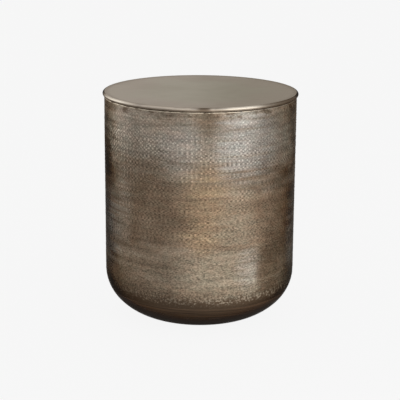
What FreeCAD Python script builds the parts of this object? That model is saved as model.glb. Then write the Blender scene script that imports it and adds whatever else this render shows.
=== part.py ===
import FreeCAD, Part
import math
import os
from collections import namedtuple

import Sketcher

# Drum side table with a lift-off lid, in millimetres, +Z up, origin on the floor under its middle.
# A sheet wall is rolled up, necked in at its foot and lapped over a spun base pan. The wall's mouth
# and the lid's edge are both rolled round a wire. The pan stands on four screwed rubber feet. Under
# the lid are a collar that drops into the mouth and two crossed bars that keep the sheet flat.

# Driving dimensions: alias, number, what it measures.
SIZES = (
    ("table_height", 470.0, "floor to the crown of the lid's rolled edge"),
    ("drum_radius", 196.5, "outside of the wall"),
    ("sheet_gauge", 1.2, "thickness of the wall, pan, lid and collar sheet"),
    ("wire_clearance", 0.3, "room between a wire and the sheet rolled round it"),
    ("rim_wire_radius", 2.3, "wire inside the rolled mouth of the wall"),
    ("rim_roll_angle", 250.0, "degrees that the mouth's sheet turns round its wire"),
    ("shoulder_radius", 88.0, "outside of the upper curve of the base"),
    ("shoulder_angle", 43.0, "degrees that the upper curve turns"),
    ("belly_radius", 120.0, "outside of the lower curve of the base"),
    ("belly_angle", 74.0, "degrees below level where the lower curve meets the heel"),
    ("heel_radius", 25.0, "curve from the belly into the heel ring"),
    ("heel_width", 5.0, "flat ring under the heel"),
    ("kick_up", 6.0, "rise of the pan's middle above its heel ring"),
    ("kick_radius", 6.0, "underside of the curves on either side of that rise"),
    ("seam_angle", 24.0, "degrees round the shoulder where wall and pan meet"),
    ("seam_gap", 0.2, "open line between the wall's edge and the pan's step"),
    ("lap_angle", 8.0, "degrees that the pan's flange runs up inside the wall"),
    ("lap_clearance", 0.1, "room between that flange and the wall"),
    ("joggle_angle", 3.0, "degrees over which the pan's sheet steps inwards"),
    ("lid_overhang", 3.5, "reach of the lid past the wall"),
    ("lid_wire_radius", 2.5, "wire inside the lid's rolled edge"),
    ("bead_rise", 0.8, "crown of the rolled edge above the flat of the lid"),
    ("bead_fillet", 3.0, "hollow between the flat of the lid and its rolled edge"),
    ("bead_roll_angle", 288.0, "degrees that the lid's sheet turns round its wire"),
    ("seat_gap", 0.3, "room between the lid's rolled edge and the mouth"),
    ("collar_depth", 22.0, "height of the collar under the lid"),
    ("collar_clearance", 1.5, "room between the collar and the rolled mouth"),
    ("brace_thickness", 4.0, "flat bars under the lid"),
    ("brace_height", 14.0, "depth of those bars on edge"),
    ("brace_corner", 5.0, "corner cut off each lower end of a bar"),
    ("brace_weld_gap", 0.2, "room between a bar's end and the collar"),
    ("brace_lap_clearance", 0.1, "room on each face of the bars' crossing"),
    ("cut_overrun", 1.0, "reach of a cut past the edge that it opens"),
    ("foot_inset", 5.0, "edge of the pan's flat middle to a foot"),
    ("foot_height", 10.0, "floor to the underside of the pan's middle"),
    ("foot_top_radius", 13.0, "rubber foot where it meets the pan"),
    ("foot_bottom_radius", 11.0, "rubber foot on the floor"),
    ("foot_edge", 1.0, "rounding of the foot's lower edge"),
    ("screw_radius", 2.5, "shank of the foot's screw"),
    ("screw_clearance", 0.3, "room round the shank in foot, pan and washer"),
    ("screw_head_radius", 4.6, "pan head of the screw"),
    ("screw_head_height", 3.3, "pan head of the screw"),
    ("screw_head_edge", 1.2, "bevel round the head"),
    ("screw_head_clearance", 1.0, "room round the head in the foot's sunk hole"),
    ("screw_head_recess", 1.7, "head above the sole of the foot"),
    ("screw_past_nut", 1.5, "end of the shank beyond the nut"),
    ("screw_tip", 0.6, "bevel at the end of the shank"),
    ("washer_radius", 6.0, "washer under the nut"),
    ("washer_thickness", 1.0, "washer under the nut"),
    ("nut_corner_radius", 4.6, "middle of the nut to a corner"),
    ("nut_height", 4.0, "nut inside the pan"),
    ("nut_clearance", 0.05, "room between shank and nut"),
)
FOOT_COUNT = 4
FOOT_START_ANGLE = 45.0

doc = FreeCAD.newDocument("drum_side_table")
sizes = doc.addObject("Spreadsheet::Sheet", "sizes")
for row, (alias, number, meaning) in enumerate(SIZES, start=1):
    sizes.set(f"A{row}", meaning)
    sizes.set(f"B{row}", str(number))
    sizes.setAlias(f"B{row}", alias)
doc.recompute()

# Sizes that several pieces share, worked out from the sheet.
WORKED = (
    ("rim_roll_radius", "sizes.rim_wire_radius + sizes.wire_clearance + sizes.sheet_gauge"),
    ("rim_roll_reach", "sizes.drum_radius - rim_roll_radius"),
    ("bead_radius", "sizes.lid_wire_radius + sizes.wire_clearance + sizes.sheet_gauge"),
    ("bead_reach", "sizes.drum_radius + sizes.lid_overhang - bead_radius"),
    ("bead_height", "sizes.table_height - bead_radius"),
    ("seat_distance", "bead_radius + rim_roll_radius + sizes.seat_gap"),
    ("rim_height", "bead_height - sqrt(seat_distance ^ 2 - (bead_reach - rim_roll_reach) ^ 2)"),
    ("lid_flat_height", "sizes.table_height - sizes.bead_rise"),
    ("lid_under_height", "lid_flat_height - sizes.sheet_gauge"),
    ("collar_radius", "rim_roll_reach - rim_roll_radius - sizes.collar_clearance"),
    ("collar_bore", "collar_radius - sizes.sheet_gauge"),
    (
        "brace_reach",
        "sqrt(collar_bore ^ 2 - (sizes.brace_thickness / 2) ^ 2) - sizes.brace_weld_gap",
    ),
    ("heel_height", "sizes.foot_height - sizes.kick_up"),
    ("belly_drop", "(sizes.belly_radius - sizes.heel_radius) * sin(sizes.belly_angle)"),
    ("belly_height", "heel_height + sizes.heel_radius + belly_drop"),
    ("shoulder_offset", "sizes.shoulder_radius - sizes.belly_radius"),
    ("shoulder_height", "belly_height + shoulder_offset * sin(sizes.shoulder_angle)"),
    ("shoulder_reach", "sizes.drum_radius - sizes.shoulder_radius"),
    ("belly_reach", "shoulder_reach + shoulder_offset * cos(sizes.shoulder_angle)"),
    (
        "heel_reach",
        "belly_reach + (sizes.belly_radius - sizes.heel_radius) * cos(sizes.belly_angle)",
    ),
    ("kick_run", "sqrt(4 * sizes.kick_radius * sizes.kick_up - sizes.kick_up ^ 2)"),
    ("pan_flat_radius", "heel_reach - sizes.heel_width - kick_run"),
    ("step_angle", "sizes.seam_angle + sizes.seam_gap / sizes.shoulder_radius * 180 / pi"),
    ("flange_radius", "sizes.shoulder_radius - sizes.sheet_gauge - sizes.lap_clearance"),
    ("pan_floor_height", "sizes.foot_height + sizes.sheet_gauge"),
    ("washer_top_height", "pan_floor_height + sizes.washer_thickness"),
    ("nut_top_height", "washer_top_height + sizes.nut_height"),
    ("foot_circle_radius", "pan_flat_radius - sizes.foot_inset - sizes.foot_top_radius"),
    ("foot_sink_radius", "sizes.screw_head_radius + sizes.screw_head_clearance"),
    ("foot_sink_depth", "sizes.screw_head_height + sizes.screw_head_recess"),
    ("screw_hole_radius", "sizes.screw_radius + sizes.screw_clearance"),
)
worked = doc.addObject("App::VarSet", "worked")
for name, expression in WORKED:
    worked.addProperty("App::PropertyFloat", name)
    worked.setExpression(name, expression)
    doc.recompute()

# The same numbers for drawing: each sketch starts where its dimensions will hold it.
Numbers = namedtuple("Numbers", [alias for alias, _, _ in SIZES] + [name for name, _ in WORKED])
size = Numbers(
    **{alias: float(getattr(sizes, alias)) for alias, _, _ in SIZES},
    **{name: getattr(worked, name) for name, _ in WORKED},
)

# A sketch names a point by its geometry's index and one of the three point indexes.
START_INDEX, END_INDEX, CENTRE_INDEX = 1, 2, 3
ACROSS_AXIS_INDEX, UP_AXIS_INDEX = -1, -2
ORIGIN = (ACROSS_AXIS_INDEX, START_INDEX)
Z_AXIS = FreeCAD.Vector(0, 0, 1)
FULL_TURN = 360.0


class Piece(namedtuple("Piece", "index first_index last_index")):
    """One line or arc of an outline, which names its points in the order they are drawn."""

    @property
    def start(self):
        return (self.index, self.first_index)

    @property
    def end(self):
        return (self.index, self.last_index)

    @property
    def centre(self):
        return (self.index, CENTRE_INDEX)


def polar(centre, radius, angle):
    """The point of a circle at an angle in degrees."""
    turn = math.radians(angle)
    return (centre[0] + radius * math.cos(turn), centre[1] + radius * math.sin(turn))


class Outline:
    """A closed outline in one sketch, drawn piece by piece with each end on the next start."""

    def __init__(self, sketch):
        self.sketch = sketch
        self.pieces = []

    def line(self, start, end, smooth=False):
        segment = Part.LineSegment(FreeCAD.Vector(*start), FreeCAD.Vector(*end))
        return self._add(segment, START_INDEX, END_INDEX, smooth)

    def arc(self, centre, radius, first, last, smooth=False):
        low, high = sorted((first, last))
        circle = Part.Circle(FreeCAD.Vector(*centre), Z_AXIS, radius)
        curve = Part.ArcOfCircle(circle, math.radians(low), math.radians(high))
        ends = (START_INDEX, END_INDEX) if first < last else (END_INDEX, START_INDEX)
        return self._add(curve, *ends, smooth)

    def polygon(self, corners):
        """Straight sides from corner to corner and back to the first."""
        sides = [self.line(a, b) for a, b in zip(corners, corners[1:] + corners[:1])]
        self.close()
        return sides

    def close(self):
        self._meet(self.pieces[-1], self.pieces[0], False)

    def share_centre(self, *arcs):
        for arc in arcs[1:]:
            self.rule("Coincident", *arcs[0].centre, *arc.centre)

    def aim_at_centre(self, line, arc):
        self.rule("PointOnObject", *arc.centre, line.index)

    def rule(self, kind, *places):
        self.sketch.addConstraint(Sketcher.Constraint(kind, *places))

    def bind(self, expression, kind, *places):
        """A dimension that follows the sheet."""
        number = float(self.sketch.evalExpression(expression))
        index = self.sketch.addConstraint(Sketcher.Constraint(kind, *places, number))
        self.sketch.setExpression(f"Constraints[{index}]", expression)

    def bind_angle(self, expression, *places):
        number = math.radians(float(self.sketch.evalExpression(expression)))
        index = self.sketch.addConstraint(Sketcher.Constraint("Angle", *places, number))
        self.sketch.setExpression(f"Constraints[{index}]", f"({expression}) * 1 deg")

    def bind_point(self, point, across, up):
        """Holds a point by its distances from the sketch's origin."""
        self.bind(across, "DistanceX", *ORIGIN, *point)
        self.bind(up, "DistanceY", *ORIGIN, *point)

    def _add(self, shape, start, end, smooth):
        piece = Piece(self.sketch.addGeometry(shape, False), start, end)
        if self.pieces:
            self._meet(self.pieces[-1], piece, smooth)
        self.pieces.append(piece)
        return piece

    def _meet(self, before, after, smooth):
        kind = "Tangent" if smooth else "Coincident"
        self.rule(kind, *before.end, *after.start)


def new_body(label):
    body = doc.addObject("PartDesign::Body", label)
    body.Label = label
    return body


def origin_feature(body, role):
    return next(feature for feature in body.Origin.OriginFeatures if feature.Role == role)


def new_sketch(body, name, plane, height=None):
    """A sketch on one of the body's own planes, raised to a height that an expression gives."""
    sketch = body.newObject("Sketcher::SketchObject", name)
    sketch.AttachmentSupport = [(origin_feature(body, plane), "")]
    sketch.MapMode = "FlatFace"
    if height:
        sketch.setExpression("AttachmentOffset.Base.z", height)
    return sketch


def revolve(body, sketch, axis="V_Axis"):
    turned = body.newObject("PartDesign::Revolution", f"{body.Name}_turned")
    turned.Profile = sketch
    turned.ReferenceAxis = (sketch, [axis])
    turned.Angle = FULL_TURN
    return turned


def pad(body, sketch, length, both_ways=False):
    raised = body.newObject("PartDesign::Pad", f"{body.Name}_pad")
    raised.Profile = sketch
    raised.setExpression("Length", length)
    if both_ways:
        raised.SideType = "Symmetric"
    return raised


def round_the_feet(body, feature):
    """Repeats a feature at every foot."""
    pattern = body.newObject("PartDesign::PolarPattern", f"{body.Name}_round_the_feet")
    pattern.Originals = [feature]
    pattern.Axis = (origin_feature(body, "Z_Axis"), [""])
    pattern.Angle = FULL_TURN
    pattern.Occurrences = FOOT_COUNT
    body.Tip = pattern
    body.Placement = FreeCAD.Placement(FreeCAD.Vector(), FreeCAD.Rotation(Z_AXIS, foot_angle(0)))


def foot_angle(number):
    return FOOT_START_ANGLE + number * FULL_TURN / FOOT_COUNT


def draw_round_hole(outline, radius, expression):
    """A circle where the first foot's screw goes."""
    centre = FreeCAD.Vector(size.foot_circle_radius, 0)
    circle = outline.sketch.addGeometry(Part.Circle(centre, Z_AXIS, radius), False)
    outline.bind("worked.foot_circle_radius", "DistanceX", *ORIGIN, circle, CENTRE_INDEX)
    outline.rule("PointOnObject", circle, CENTRE_INDEX, ACROSS_AXIS_INDEX)
    outline.bind(expression, "Radius", circle)
    return circle


# Drum wall: sheet rolled to a cylinder, its mouth rolled inwards round a wire, its foot necked in.
def make_drum_wall():
    body = new_body("drum_wall")
    outline = Outline(new_sketch(body, "wall_outline", "XZ_Plane"))
    shoulder = (size.shoulder_reach, size.shoulder_height)
    roll = (size.rim_roll_reach, size.rim_height)
    inner_roll = size.rim_roll_radius - size.sheet_gauge
    inner_wall = size.drum_radius - size.sheet_gauge
    inner_neck = size.shoulder_radius - size.sheet_gauge
    neck_out = outline.arc(shoulder, size.shoulder_radius, -size.seam_angle, 0)
    wall_out = outline.line(
        (size.drum_radius, size.shoulder_height), (size.drum_radius, size.rim_height), smooth=True
    )
    roll_out = outline.arc(roll, size.rim_roll_radius, 0, size.rim_roll_angle, smooth=True)
    roll_end = outline.line(
        polar(roll, size.rim_roll_radius, size.rim_roll_angle),
        polar(roll, inner_roll, size.rim_roll_angle),
    )
    roll_in = outline.arc(roll, inner_roll, size.rim_roll_angle, 0)
    wall_in = outline.line(
        (inner_wall, size.rim_height), (inner_wall, size.shoulder_height), smooth=True
    )
    neck_in = outline.arc(shoulder, inner_neck, 0, -size.seam_angle, smooth=True)
    neck_end = outline.line(
        polar(shoulder, inner_neck, -size.seam_angle),
        polar(shoulder, size.shoulder_radius, -size.seam_angle),
    )
    outline.close()
    outline.rule("Vertical", wall_out.index)
    outline.rule("Vertical", wall_in.index)
    outline.share_centre(neck_out, neck_in)
    outline.share_centre(roll_out, roll_in)
    outline.aim_at_centre(roll_end, roll_out)
    outline.aim_at_centre(neck_end, neck_out)
    outline.bind_point(wall_out.start, "sizes.drum_radius", "worked.shoulder_height")
    outline.bind("worked.rim_height", "DistanceY", *ORIGIN, *roll_out.centre)
    outline.bind("worked.rim_roll_radius", "Radius", roll_out.index)
    outline.bind("sizes.shoulder_radius", "Radius", neck_out.index)
    outline.bind("sizes.sheet_gauge", "Distance", roll_end.index)
    outline.bind_angle("sizes.rim_roll_angle", roll_out.index)
    outline.bind_angle("sizes.seam_angle", neck_out.index)
    revolve(body, outline.sketch)
    return body


# Base pan: spun dish with a flange lapped inside the wall, a heel ring and a raised middle.
def make_base_pan():
    body = new_body("base_pan")
    outline = Outline(new_sketch(body, "pan_outline", "XZ_Plane"))
    gauge = size.sheet_gauge
    shoulder = (size.shoulder_reach, size.shoulder_height)
    belly = (size.belly_reach, size.belly_height)
    heel = (size.heel_reach, size.heel_height + size.heel_radius)
    kick_angle = math.degrees(math.acos(1 - size.kick_up / (2 * size.kick_radius)))
    outer_kick = (heel[0] - size.heel_width, size.heel_height + size.kick_radius)
    inner_kick = (size.pan_flat_radius, size.foot_height - size.kick_radius)
    flange_top = size.lap_angle - size.seam_angle
    step = -size.step_angle
    jog = step - size.joggle_angle

    flange_out = outline.arc(shoulder, size.flange_radius, flange_top, step)
    step_line = outline.line(
        polar(shoulder, size.flange_radius, step), polar(shoulder, size.shoulder_radius, step)
    )
    shoulder_out = outline.arc(shoulder, size.shoulder_radius, step, -size.shoulder_angle)
    belly_out = outline.arc(belly, size.belly_radius, -size.shoulder_angle, -size.belly_angle, smooth=True)
    heel_out = outline.arc(heel, size.heel_radius, -size.belly_angle, -90, smooth=True)
    heel_under = outline.line(
        (heel[0], size.heel_height), (outer_kick[0], size.heel_height), smooth=True
    )
    kick_out = outline.arc(outer_kick, size.kick_radius, -90, -90 - kick_angle, smooth=True)
    rise_out = outline.arc(inner_kick, size.kick_radius, 90 - kick_angle, 90, smooth=True)
    under = outline.line((inner_kick[0], size.foot_height), (0, size.foot_height), smooth=True)
    axis = outline.line((0, size.foot_height), (0, size.pan_floor_height))
    floor = outline.line((0, size.pan_floor_height), (inner_kick[0], size.pan_floor_height))
    rise_in = outline.arc(inner_kick, size.kick_radius + gauge, 90, 90 - kick_angle, smooth=True)
    kick_in = outline.arc(outer_kick, size.kick_radius - gauge, -90 - kick_angle, -90, smooth=True)
    heel_over = outline.line(
        (outer_kick[0], size.heel_height + gauge), (heel[0], size.heel_height + gauge), smooth=True
    )
    heel_in = outline.arc(heel, size.heel_radius - gauge, -90, -size.belly_angle, smooth=True)
    belly_in = outline.arc(
        belly, size.belly_radius - gauge, -size.belly_angle, -size.shoulder_angle, smooth=True
    )
    shoulder_in = outline.arc(
        shoulder, size.shoulder_radius - gauge, -size.shoulder_angle, jog, smooth=True
    )
    jog_line = outline.line(
        polar(shoulder, size.shoulder_radius - gauge, jog),
        polar(shoulder, size.flange_radius - gauge, step),
    )
    flange_in = outline.arc(shoulder, size.flange_radius - gauge, step, flange_top)
    flange_end = outline.line(
        polar(shoulder, size.flange_radius - gauge, flange_top),
        polar(shoulder, size.flange_radius, flange_top),
    )
    outline.close()
    for flat in (heel_under, under, floor, heel_over):
        outline.rule("Horizontal", flat.index)
    outline.rule("PointOnObject", *axis.start, UP_AXIS_INDEX)
    outline.rule("PointOnObject", *axis.end, UP_AXIS_INDEX)
    outline.share_centre(shoulder_out, shoulder_in, flange_out, flange_in)
    outline.share_centre(belly_out, belly_in)
    outline.share_centre(heel_out, heel_in)
    outline.share_centre(kick_out, kick_in)
    outline.share_centre(rise_out, rise_in)
    outline.aim_at_centre(step_line, shoulder_out)
    outline.aim_at_centre(flange_end, shoulder_out)
    outline.rule("PointOnObject", *jog_line.end, step_line.index)
    outline.bind_point(
        shoulder_out.centre, "worked.shoulder_reach", "worked.shoulder_height"
    )
    outline.bind("sizes.shoulder_radius", "Radius", shoulder_out.index)
    outline.bind("worked.flange_radius", "Radius", flange_out.index)
    outline.bind("worked.flange_radius - sizes.sheet_gauge", "Radius", flange_in.index)
    outline.bind("sizes.belly_radius", "Radius", belly_out.index)
    outline.bind("sizes.heel_radius", "Radius", heel_out.index)
    outline.bind("sizes.kick_radius", "Radius", kick_out.index)
    outline.bind("sizes.kick_radius", "Radius", rise_out.index)
    outline.bind("sizes.sheet_gauge", "Distance", axis.index)
    outline.bind("sizes.foot_height", "DistanceY", *ORIGIN, *axis.start)
    outline.bind("worked.heel_height", "DistanceY", *ORIGIN, *heel_under.start)
    outline.bind("sizes.heel_width", "Distance", heel_under.index)
    for point, drop in (
        (shoulder_out.start, "sizes.shoulder_radius * sin(worked.step_angle)"),
        (shoulder_out.end, "sizes.shoulder_radius * sin(sizes.shoulder_angle)"),
        (flange_out.start, "worked.flange_radius * sin(sizes.seam_angle - sizes.lap_angle)"),
        (
            shoulder_in.end,
            "(sizes.shoulder_radius - sizes.sheet_gauge) * sin(worked.step_angle + sizes.joggle_angle)",
        ),
    ):
        outline.bind(drop, "DistanceY", *point, *shoulder_out.centre)
    revolve(body, outline.sketch)
    doc.recompute()

    hole = Outline(new_sketch(body, "screw_hole_outline", "XY_Plane"))
    draw_round_hole(hole, size.screw_hole_radius, "worked.screw_hole_radius")
    drilled = body.newObject("PartDesign::Pocket", "screw_hole")
    drilled.Profile = hole.sketch
    drilled.Type = "ThroughAll"
    drilled.Reversed = True
    round_the_feet(body, drilled)
    return body


# Rolled edges: a ring of wire lies inside each.
def make_wire(label, reach, height, radius):
    ring = doc.addObject("Part::Torus", label)
    ring.Label = label
    ring.setExpression("Radius1", reach)
    ring.setExpression("Radius2", radius)
    ring.setExpression("Placement.Base.z", height)
    return ring


# Rubber foot: a short cone with a sunk hole for its screw, standing under the pan.
def make_foot(number):
    body = new_body(f"foot_{number + 1}")
    outline = Outline(new_sketch(body, f"foot_{number + 1}_outline", "XZ_Plane"))
    corners = [
        (size.foot_sink_radius, 0),
        (size.foot_bottom_radius, 0),
        (size.foot_top_radius, size.foot_height),
        (size.screw_hole_radius, size.foot_height),
        (size.screw_hole_radius, size.foot_sink_depth),
        (size.foot_sink_radius, size.foot_sink_depth),
    ]
    sole, flank, top, bore, sink, sink_wall = outline.polygon(corners)
    for flat in (sole, top, sink):
        outline.rule("Horizontal", flat.index)
    for upright in (bore, sink_wall):
        outline.rule("Vertical", upright.index)
    outline.rule("PointOnObject", *sole.start, ACROSS_AXIS_INDEX)
    for reach, piece in (
        ("worked.foot_sink_radius", sole),
        ("sizes.foot_bottom_radius", flank),
        ("sizes.foot_top_radius", top),
        ("worked.screw_hole_radius", bore),
    ):
        outline.bind(reach, "DistanceX", *ORIGIN, *piece.start)
    outline.bind("sizes.foot_height", "DistanceY", *ORIGIN, *top.start)
    outline.bind("worked.foot_sink_depth", "DistanceY", *ORIGIN, *sink.start)
    turned = revolve(body, outline.sketch)
    doc.recompute()
    rounded = body.newObject("PartDesign::Fillet", f"foot_{number + 1}_edge")
    rounded.Base = (turned, [sole_edge(turned.Shape)])
    rounded.setExpression("Radius", "sizes.foot_edge")
    body.Tip = rounded
    angle = foot_angle(number)
    body.setExpression("Placement.Base.x", f"worked.foot_circle_radius * cos({angle})")
    body.setExpression("Placement.Base.y", f"worked.foot_circle_radius * sin({angle})")
    return body


def sole_edge(shape):
    """The foot's outer edge on the floor: the widest of its edges there."""
    low = [i for i, edge in enumerate(shape.Edges) if edge.BoundBox.ZMax < size.foot_edge]
    widest = max(low, key=lambda i: shape.Edges[i].BoundBox.DiagonalLength)
    return f"Edge{widest + 1}"


# Foot screws: pan-head, up through foot, pan and washer into the nut.
def make_foot_screws():
    body = new_body("foot_screws")
    outline = Outline(new_sketch(body, "screw_outline", "XZ_Plane"))
    centre = size.foot_circle_radius
    seat = size.foot_sink_depth
    bottom = seat - size.screw_head_height
    tip = size.nut_top_height + size.screw_past_nut
    corners = [
        (centre, bottom),
        (centre + size.screw_head_radius - size.screw_head_edge, bottom),
        (centre + size.screw_head_radius, bottom + size.screw_head_edge),
        (centre + size.screw_head_radius, seat),
        (centre + size.screw_radius, seat),
        (centre + size.screw_radius, tip - size.screw_tip),
        (centre + size.screw_radius - size.screw_tip, tip),
        (centre, tip),
    ]
    face, bevel, rim, under_head, shank, tip_bevel, end, middle = outline.polygon(corners)
    for flat in (face, under_head, end):
        outline.rule("Horizontal", flat.index)
    for upright in (rim, shank, middle):
        outline.rule("Vertical", upright.index)
    outline.bind_point(
        face.start, "worked.foot_circle_radius", "worked.foot_sink_depth - sizes.screw_head_height"
    )
    outline.bind("sizes.screw_head_radius", "DistanceX", *middle.end, *rim.start)
    outline.bind("sizes.screw_head_edge", "DistanceX", *bevel.start, *bevel.end)
    outline.bind("sizes.screw_head_edge", "DistanceY", *bevel.start, *bevel.end)
    outline.bind("worked.foot_sink_depth", "DistanceY", *ORIGIN, *under_head.start)
    outline.bind("sizes.screw_radius", "DistanceX", *middle.end, *shank.start)
    outline.bind("sizes.screw_tip", "DistanceX", *tip_bevel.end, *tip_bevel.start)
    outline.bind("sizes.screw_tip", "DistanceY", *tip_bevel.start, *tip_bevel.end)
    outline.bind(
        "worked.nut_top_height + sizes.screw_past_nut", "DistanceY", *ORIGIN, *end.start
    )
    axis = outline.sketch.addGeometry(
        Part.LineSegment(FreeCAD.Vector(centre, bottom), FreeCAD.Vector(centre, tip)), True
    )
    outline.rule("Coincident", axis, START_INDEX, *face.start)
    outline.rule("Coincident", axis, END_INDEX, *end.end)
    turned = revolve(body, outline.sketch, "Axis0")
    round_the_feet(body, turned)
    return body


# Washers and nuts: inside the drum, on the pan's floor.
def make_foot_washers():
    body = new_body("foot_washers")
    outline = Outline(new_sketch(body, "washer_outline", "XY_Plane", "worked.pan_floor_height"))
    draw_round_hole(outline, size.washer_radius, "sizes.washer_radius")
    draw_round_hole(outline, size.screw_hole_radius, "worked.screw_hole_radius")
    round_the_feet(body, pad(body, outline.sketch, "sizes.washer_thickness"))
    return body


def make_foot_nuts():
    body = new_body("foot_nuts")
    outline = Outline(new_sketch(body, "nut_outline", "XY_Plane", "worked.washer_top_height"))
    sides = 6
    middle = (size.foot_circle_radius, 0)
    corners = [polar(middle, size.nut_corner_radius, FULL_TURN * i / sides) for i in range(sides)]
    flats = outline.polygon(corners)
    ring = draw_round_hole(outline, size.nut_corner_radius, "sizes.nut_corner_radius")
    outline.sketch.setConstruction(ring, True)
    for flat in flats:
        outline.rule("PointOnObject", *flat.start, ring)
    for flat in flats[1:]:
        outline.rule("Equal", flats[0].index, flat.index)
    outline.rule("Horizontal", flats[1].index)
    draw_round_hole(
        outline,
        size.screw_radius + size.nut_clearance,
        "sizes.screw_radius + sizes.nut_clearance",
    )
    round_the_feet(body, pad(body, outline.sketch, "sizes.nut_height"))
    return body


# Lid: spun disc whose edge is rolled over, out and under round its wire.
def make_lid_top():
    body = new_body("lid_top")
    outline = Outline(new_sketch(body, "lid_outline", "XZ_Plane"))
    bead = (size.bead_reach, size.bead_height)
    inner_bead = size.bead_radius - size.sheet_gauge
    inner_fillet = size.bead_fillet + size.sheet_gauge
    centres_apart = size.bead_fillet + size.bead_radius
    meet_angle = math.degrees(math.asin((centres_apart - size.bead_rise) / centres_apart))
    fillet = polar(bead, centres_apart, 180 - meet_angle)
    roll_start = 180 - meet_angle
    roll_stop = roll_start - size.bead_roll_angle
    top = outline.line((0, size.lid_flat_height), (fillet[0], size.lid_flat_height))
    fillet_out = outline.arc(fillet, size.bead_fillet, -90, -meet_angle, smooth=True)
    bead_out = outline.arc(bead, size.bead_radius, roll_start, roll_stop, smooth=True)
    bead_end = outline.line(
        polar(bead, size.bead_radius, roll_stop), polar(bead, inner_bead, roll_stop)
    )
    bead_in = outline.arc(bead, inner_bead, roll_stop, roll_start)
    fillet_in = outline.arc(fillet, inner_fillet, -meet_angle, -90, smooth=True)
    under = outline.line(
        (fillet[0], size.lid_under_height), (0, size.lid_under_height), smooth=True
    )
    axis = outline.line((0, size.lid_under_height), (0, size.lid_flat_height))
    outline.close()
    outline.rule("Horizontal", top.index)
    outline.rule("Horizontal", under.index)
    outline.rule("PointOnObject", *axis.start, UP_AXIS_INDEX)
    outline.rule("PointOnObject", *axis.end, UP_AXIS_INDEX)
    outline.share_centre(fillet_out, fillet_in)
    outline.share_centre(bead_out, bead_in)
    outline.aim_at_centre(bead_end, bead_out)
    outline.bind_point(bead_out.centre, "worked.bead_reach", "worked.bead_height")
    outline.bind("worked.bead_radius", "Radius", bead_out.index)
    outline.bind("sizes.bead_fillet", "Radius", fillet_out.index)
    outline.bind("sizes.sheet_gauge", "Distance", axis.index)
    outline.bind("worked.lid_flat_height", "DistanceY", *ORIGIN, *top.start)
    outline.bind_angle("sizes.bead_roll_angle", bead_out.index)
    revolve(body, outline.sketch)
    return body


# Collar: a hoop of sheet on edge under the lid, which drops into the mouth.
def make_lid_collar():
    body = new_body("lid_collar")
    outline = Outline(new_sketch(body, "collar_outline", "XZ_Plane"))
    low = size.lid_under_height - size.collar_depth
    corners = [
        (size.collar_bore, low),
        (size.collar_radius, low),
        (size.collar_radius, size.lid_under_height),
        (size.collar_bore, size.lid_under_height),
    ]
    bottom, outside, top, inside = outline.polygon(corners)
    for flat in (bottom, top):
        outline.rule("Horizontal", flat.index)
    for upright in (outside, inside):
        outline.rule("Vertical", upright.index)
    outline.bind_point(top.start, "worked.collar_radius", "worked.lid_under_height")
    outline.bind("sizes.sheet_gauge", "Distance", top.index)
    outline.bind("sizes.collar_depth", "Distance", outside.index)
    revolve(body, outline.sketch)
    return body


# Braces: two flat bars on edge across the collar, halved over each other in the middle.
def make_lid_brace(label, plane, notch_from_top):
    body = new_body(label)
    bar = Outline(new_sketch(body, f"{label}_outline", plane))
    reach = size.brace_reach
    high = size.lid_under_height
    low = high - size.brace_height
    corners = [
        (size.brace_corner - reach, low),
        (reach - size.brace_corner, low),
        (reach, low + size.brace_corner),
        (reach, high),
        (-reach, high),
        (-reach, low + size.brace_corner),
    ]
    bottom, right_bevel, right_end, top, left_end, left_bevel = bar.polygon(corners)
    bar.rule("Symmetric", *bottom.start, *bottom.end, UP_AXIS_INDEX)
    bar.rule("Symmetric", *top.start, *top.end, UP_AXIS_INDEX)
    bar.rule("Symmetric", *right_end.start, *left_end.end, UP_AXIS_INDEX)
    bar.rule("Vertical", right_end.index)
    bar.bind_point(top.start, "worked.brace_reach", "worked.lid_under_height")
    bar.bind("sizes.brace_corner", "DistanceX", *right_bevel.start, *right_bevel.end)
    bar.bind("sizes.brace_corner", "DistanceY", *right_bevel.start, *right_bevel.end)
    bar.bind("sizes.brace_height", "DistanceY", *bottom.end, *top.start)
    pad(body, bar.sketch, "sizes.brace_thickness", both_ways=True)
    doc.recompute()

    notch = Outline(new_sketch(body, f"{label}_notch_outline", plane))
    half_width = size.brace_thickness / 2 + size.brace_lap_clearance
    depth = size.brace_height / 2 + size.brace_lap_clearance / 2
    if notch_from_top:
        notch_low, notch_high = high - depth, high + size.cut_overrun
        floor = "worked.lid_under_height - sizes.brace_height / 2 - sizes.brace_lap_clearance / 2"
    else:
        notch_low, notch_high = low - size.cut_overrun, low + depth
        floor = "worked.lid_under_height - sizes.brace_height - sizes.cut_overrun"
    corners = [
        (-half_width, notch_low),
        (half_width, notch_low),
        (half_width, notch_high),
        (-half_width, notch_high),
    ]
    under, right, over, left = notch.polygon(corners)
    notch.rule("Symmetric", *under.start, *under.end, UP_AXIS_INDEX)
    notch.rule("Symmetric", *over.start, *over.end, UP_AXIS_INDEX)
    notch.rule("Vertical", right.index)
    notch.bind_point(
        under.end, "sizes.brace_thickness / 2 + sizes.brace_lap_clearance", floor
    )
    notch.bind(
        "sizes.brace_height / 2 + sizes.brace_lap_clearance / 2 + sizes.cut_overrun",
        "Distance",
        right.index,
    )
    cut = body.newObject("PartDesign::Pocket", f"{label}_notch")
    cut.Profile = notch.sketch
    cut.Type = "ThroughAll"
    cut.SideType = "Symmetric"
    return body


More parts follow.
